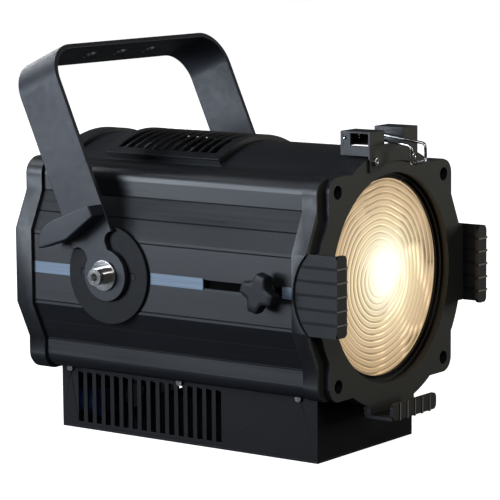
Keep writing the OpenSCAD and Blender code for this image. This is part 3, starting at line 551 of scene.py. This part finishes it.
def face_outwards(mesh, merge=0):
    """Merges points nearer than merge and turns the faces outwards."""
    bm = bmesh.new()
    bm.from_mesh(mesh)
    if merge:
        bmesh.ops.remove_doubles(bm, verts=bm.verts, dist=merge)
    bmesh.ops.recalc_face_normals(bm, faces=bm.faces)
    bm.to_mesh(mesh)
    bm.free()


def lathe(name, profile, centre, material, segments):
    """Turns (radius, y) points, which start and end on the axis, about Y through centre."""
    verts, faces = [], []
    for r, y in profile:
        for k in range(segments):
            a = 2 * math.pi * k / segments
            verts.append((centre.x + r * math.cos(a), y, centre.z + r * math.sin(a)))
    for i in range(len(profile) - 1):
        for k in range(segments):
            q = (k + 1) % segments
            faces.append((i * segments + k, (i + 1) * segments + k,
                          (i + 1) * segments + q, i * segments + q))
    obj = mesh_object(name, verts, faces, material)
    face_outwards(obj.data, merge=1e-7)
    shade_smooth(obj.data)
    return obj


def filleted(points, radius, steps=6):
    """The polyline with its corners rounded."""
    out = [points[0]]
    for before, corner, after in zip(points, points[1:], points[2:]):
        a, b = (before - corner), (after - corner)
        reach = min(radius, a.length * 0.45, b.length * 0.45)
        start, end = corner + a.normalized() * reach, corner + b.normalized() * reach
        for s in range(steps + 1):
            t = s / steps
            out.append(start * (1 - t) ** 2 + corner * 2 * t * (1 - t) + end * t ** 2)
    return out + [points[-1]]


def tube(name, points, radius, material, sides=16, closed=False):
    """A round wire along points, with domed ends where it is open."""
    verts, faces = [], []
    count = len(points)
    normal = None
    for i, p in enumerate(points):
        if closed:
            along = (points[(i + 1) % count] - points[i - 1]).normalized()
        else:
            along = (points[min(i + 1, count - 1)] - points[max(i - 1, 0)]).normalized()
        if normal is None:
            normal = along.orthogonal().normalized()
        normal = (normal - along * normal.dot(along)).normalized()
        other = along.cross(normal)
        for k in range(sides):
            a = 2 * math.pi * k / sides
            verts.append(p + (normal * math.cos(a) + other * math.sin(a)) * radius)
    for i in range(count if closed else count - 1):
        j = (i + 1) % count
        for k in range(sides):
            q = (k + 1) % sides
            faces.append((i * sides + k, i * sides + q, j * sides + q, j * sides + k))
    if not closed:
        for i, sign in ((0, -1), (count - 1, 1)):
            end = points[1] - points[0] if i == 0 else points[-1] - points[-2]
            along = end.normalized() * sign
            tip = len(verts)
            verts.append(points[i] + along * radius * 0.5)
            for k in range(sides):
                q = (k + 1) % sides
                ring = (i * sides + k, i * sides + q)
                faces.append((tip, *ring) if sign > 0 else (tip, *reversed(ring)))
    return mesh_object(name, verts, faces, material)


def joined(name, objs):
    """Joins objects into the first and names it."""
    bpy.ops.object.select_all(action="DESELECT")
    for o in objs:
        o.select_set(True)
    bpy.context.view_layer.objects.active = objs[0]
    bpy.ops.object.join()
    objs[0].name = objs[0].data.name = name
    return objs[0]


def replace(obj, node):
    """obj stands for a CAD node, whose mesh is hidden, and rides on its body."""
    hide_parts(node)
    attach(obj, nodes[node]["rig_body"])


def add_lens():
    """Pressed lens: a domed middle, then prism rings whose faces lean outwards."""
    back, front = LENS_HIGH.y, LENS_LOW.y
    relief = 2.0 * MM
    rim = front + 0.6 * MM
    profile = [(0, back), (LENS_R, back), (LENS_R, rim), (LENS_VIEW_R, rim)]
    prism = [(t, 0.1 + 0.9 * t ** 1.5) for t in (1.0, 0.8, 0.6, 0.4, 0.22, 0.1)]
    prism += [(0.03, 0.22), (0.0, 0.85)]  # the riser down to the ring inside it
    for i in reversed(range(LENS_RINGS)):
        inner = LENS_PLAIN_R + i * LENS_PITCH
        for t, depth in prism:
            profile.append((inner + t * LENS_PITCH, front + relief * depth))
    for t in (0.95, 0.8, 0.6, 0.4, 0.2, 0.0):
        profile.append((LENS_PLAIN_R * t, front + relief * 0.8 * t * t))
    lens = lathe("fresnel_lens_glass", profile, Vector((0, 0, AXIS_Z)), LENS, 160)
    replace(lens, "fresnel_lens")


def add_knob():
    """Four-lobed clamping knob with blunt lobes, a waisted foot and a flat face."""
    low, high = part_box("focus_knob")
    centre = (low + high) / 2
    reach = 15.6 * MM
    height = high.x - low.x
    rings = [  # (share of the height from the foot, share of the reach, lobe depth)
        (0.0, 0.55, 0.0), (0.0, 0.62, 0.05), (0.10, 0.64, 0.10), (0.16, 0.80, 0.5),
        (0.20, 0.93, 0.9), (0.26, 0.985, 1.0), (0.36, 1.0, 1.0), (0.84, 1.0, 1.0),
        (0.92, 0.985, 1.0), (0.97, 0.955, 1.0), (1.0, 0.91, 1.0), (1.0, 0.6, 1.0),
        (1.0, 0.45, 0.6), (1.0, 0.2, 0.0)]
    segments = 96
    turned = math.radians(17)
    blunt = math.radians(15)  # half the angle over which a lobe's end is flat
    half_lobe = math.pi / 4
    verts, faces = [], []
    for up, share, lobes in rings:
        for k in range(segments):
            a = 2 * math.pi * k / segments
            off = abs((a - turned + half_lobe) % (math.pi / 2) - half_lobe)
            if off < blunt:
                star = 0.965 / math.cos(off)
            else:
                across = (off - blunt) / (half_lobe - blunt)
                star = 1 - 0.37 * math.sin(math.pi / 2 * across) ** 0.9
            r = reach * share * (1 + (star - 1) * lobes)
            verts.append((high.x - height * up,
                          centre.y + r * math.cos(a), centre.z + r * math.sin(a)))
    for i in range(len(rings) - 1):
        for k in range(segments):
            q = (k + 1) % segments
            faces.append((i * segments + k, (i + 1) * segments + k,
                          (i + 1) * segments + q, i * segments + q))
    faces.append(tuple(range(segments)))
    faces.append(tuple(reversed(range((len(rings) - 1) * segments, len(rings) * segments))))
    knob = mesh_object("focus_knob_moulding", verts, faces, KNOB)
    face_outwards(knob.data)
    shade_smooth(knob.data, angle=60)
    replace(knob, "focus_knob")


def add_bail():
    """One length of spring wire, bent into the bail with round corners."""
    low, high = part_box("latch_bail")
    pin = Vector(joint("latch_swing")["pos_m"])
    wire_r = 1.2 * MM
    half = 10 * MM
    front, foot = low.y + 1.3 * MM, low.z + 1.3 * MM
    knee = pin.z - 5.4 * MM
    path = [Vector((low.x, pin.y, pin.z)), Vector((-half, pin.y, pin.z)),
            Vector((-half, front, knee)), Vector((-half, front, foot)),
            Vector((half, front, foot)), Vector((half, front, knee)),
            Vector((half, pin.y, pin.z)), Vector((high.x, pin.y, pin.z))]
    bail = tube("latch_wire", filleted(path, 3.2 * MM), wire_r, CHROME)
    replace(bail, "latch_bail")


def add_fan_guard():
    """Wire grille of the fan: six rings on four crossing bars."""
    low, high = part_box("fan_guard")
    centre = (low + high) / 2
    outer = (high.x - low.x) / 2
    wires = []
    for i in range(6):
        r = outer - 1.2 * MM - i * 6.1 * MM
        ring = [Vector((centre.x + r * math.cos(t), centre.y - 0.3 * MM,
                        centre.z + r * math.sin(t)))
                for t in (2 * math.pi * k / 72 for k in range(72))]
        wires.append(tube("wire", ring, 0.75 * MM, PLATED, 8, closed=True))
    for turn in range(4):
        a = math.radians(45 * turn)
        d = Vector((math.cos(a), 0, math.sin(a))) * (outer - 0.8 * MM)
        mid = Vector((centre.x, centre.y + 0.1 * MM, centre.z))
        wires.append(tube("wire", [mid - d, mid, mid + d], 0.6 * MM, PLATED, 8))
    replace(joined("fan_guard_wires", wires), "fan_guard")


add_lens()
add_knob()
add_bail()
add_fan_guard()

# ---------------------------------------------------------------- floor, light, world


def seen_only(n, seen, bounced):
    """seen on what is looked at directly and bounced on what only lights the object."""
    path = n.add("ShaderNodeLightPath").outputs["Is Camera Ray"]
    return n.map(path, 0, 1, bounced, seen)


def add_stage():
    """A floor that looks white, like the photograph's ground, but throws little light back."""
    m, n, shader, co = new_material("studio_floor")
    pale = n.ramp(n.noise(co, 3, 2), [(0.3, (0.80, 0.80, 0.80)), (0.7, (0.83, 0.83, 0.83))])
    n.link(n.mix(seen_only(n, 0.0, 1.0), pale, (0.08, 0.08, 0.08)), shader.inputs["Base Color"])
    shader.inputs["Roughness"].default_value = 0.9
    shader.inputs["Specular IOR Level"].default_value = 0.1
    shader.inputs["Emission Color"].default_value = (1, 1, 1, 1)
    n.link(seen_only(n, 0.97, 0.0), shader.inputs["Emission Strength"])
    s = 6
    floor = mesh_object("studio_floor", [(-s, -s, 0), (s, -s, 0), (s, s, 0), (-s, s, 0)],
                        [(0, 1, 2, 3)], m, smooth=False)


def add_light(name, at, towards, size, power, color=(1, 1, 1)):
    data = bpy.data.lights.new(name, "AREA")
    data.shape = "RECTANGLE"
    data.size, data.size_y = size
    data.energy = power
    data.color = color
    light = bpy.data.objects.new(name, data)
    light.location = at
    light.rotation_euler = (Vector(towards) - Vector(at)).to_track_quat("-Z", "Y").to_euler()
    scene.collection.objects.link(light)


def add_world():
    """A white ground that barely lights the object."""
    world = bpy.data.worlds.new("studio")
    world.use_nodes = True
    scene.world = world
    n = Nodes(world.node_tree)
    back = world.node_tree.nodes["Background"]
    back.inputs["Color"].default_value = (1, 1, 1, 1)
    n.link(seen_only(n, 1.0, 0.05), back.inputs["Strength"])


add_stage()
add_world()
add_light("side_panel", (-2.3, 1.5, 0.55), (0, 0, 0.17), (1.3, 1.5), 60, (0.80, 0.89, 1.0))
add_light("key", (-1.6, -1.4, 1.5), (0, 0, 0.15), (0.9, 0.9), 12)
add_light("back_strip", (-0.35, 2.0, 1.7), (0, 0, 0.2), (1.4, 0.35), 18, (0.90, 0.95, 1.0))
add_light("rear", (1.2, 2.6, 0.9), (0, 0.1, 0.12), (1.2, 0.8), 16, (0.92, 0.96, 1.0))
add_light("front", (1.6, -1.8, 0.6), (0, 0, 0.15), (0.5, 1.0), 9, (1.0, 0.98, 0.92))
scene.view_settings.view_transform = "Standard"
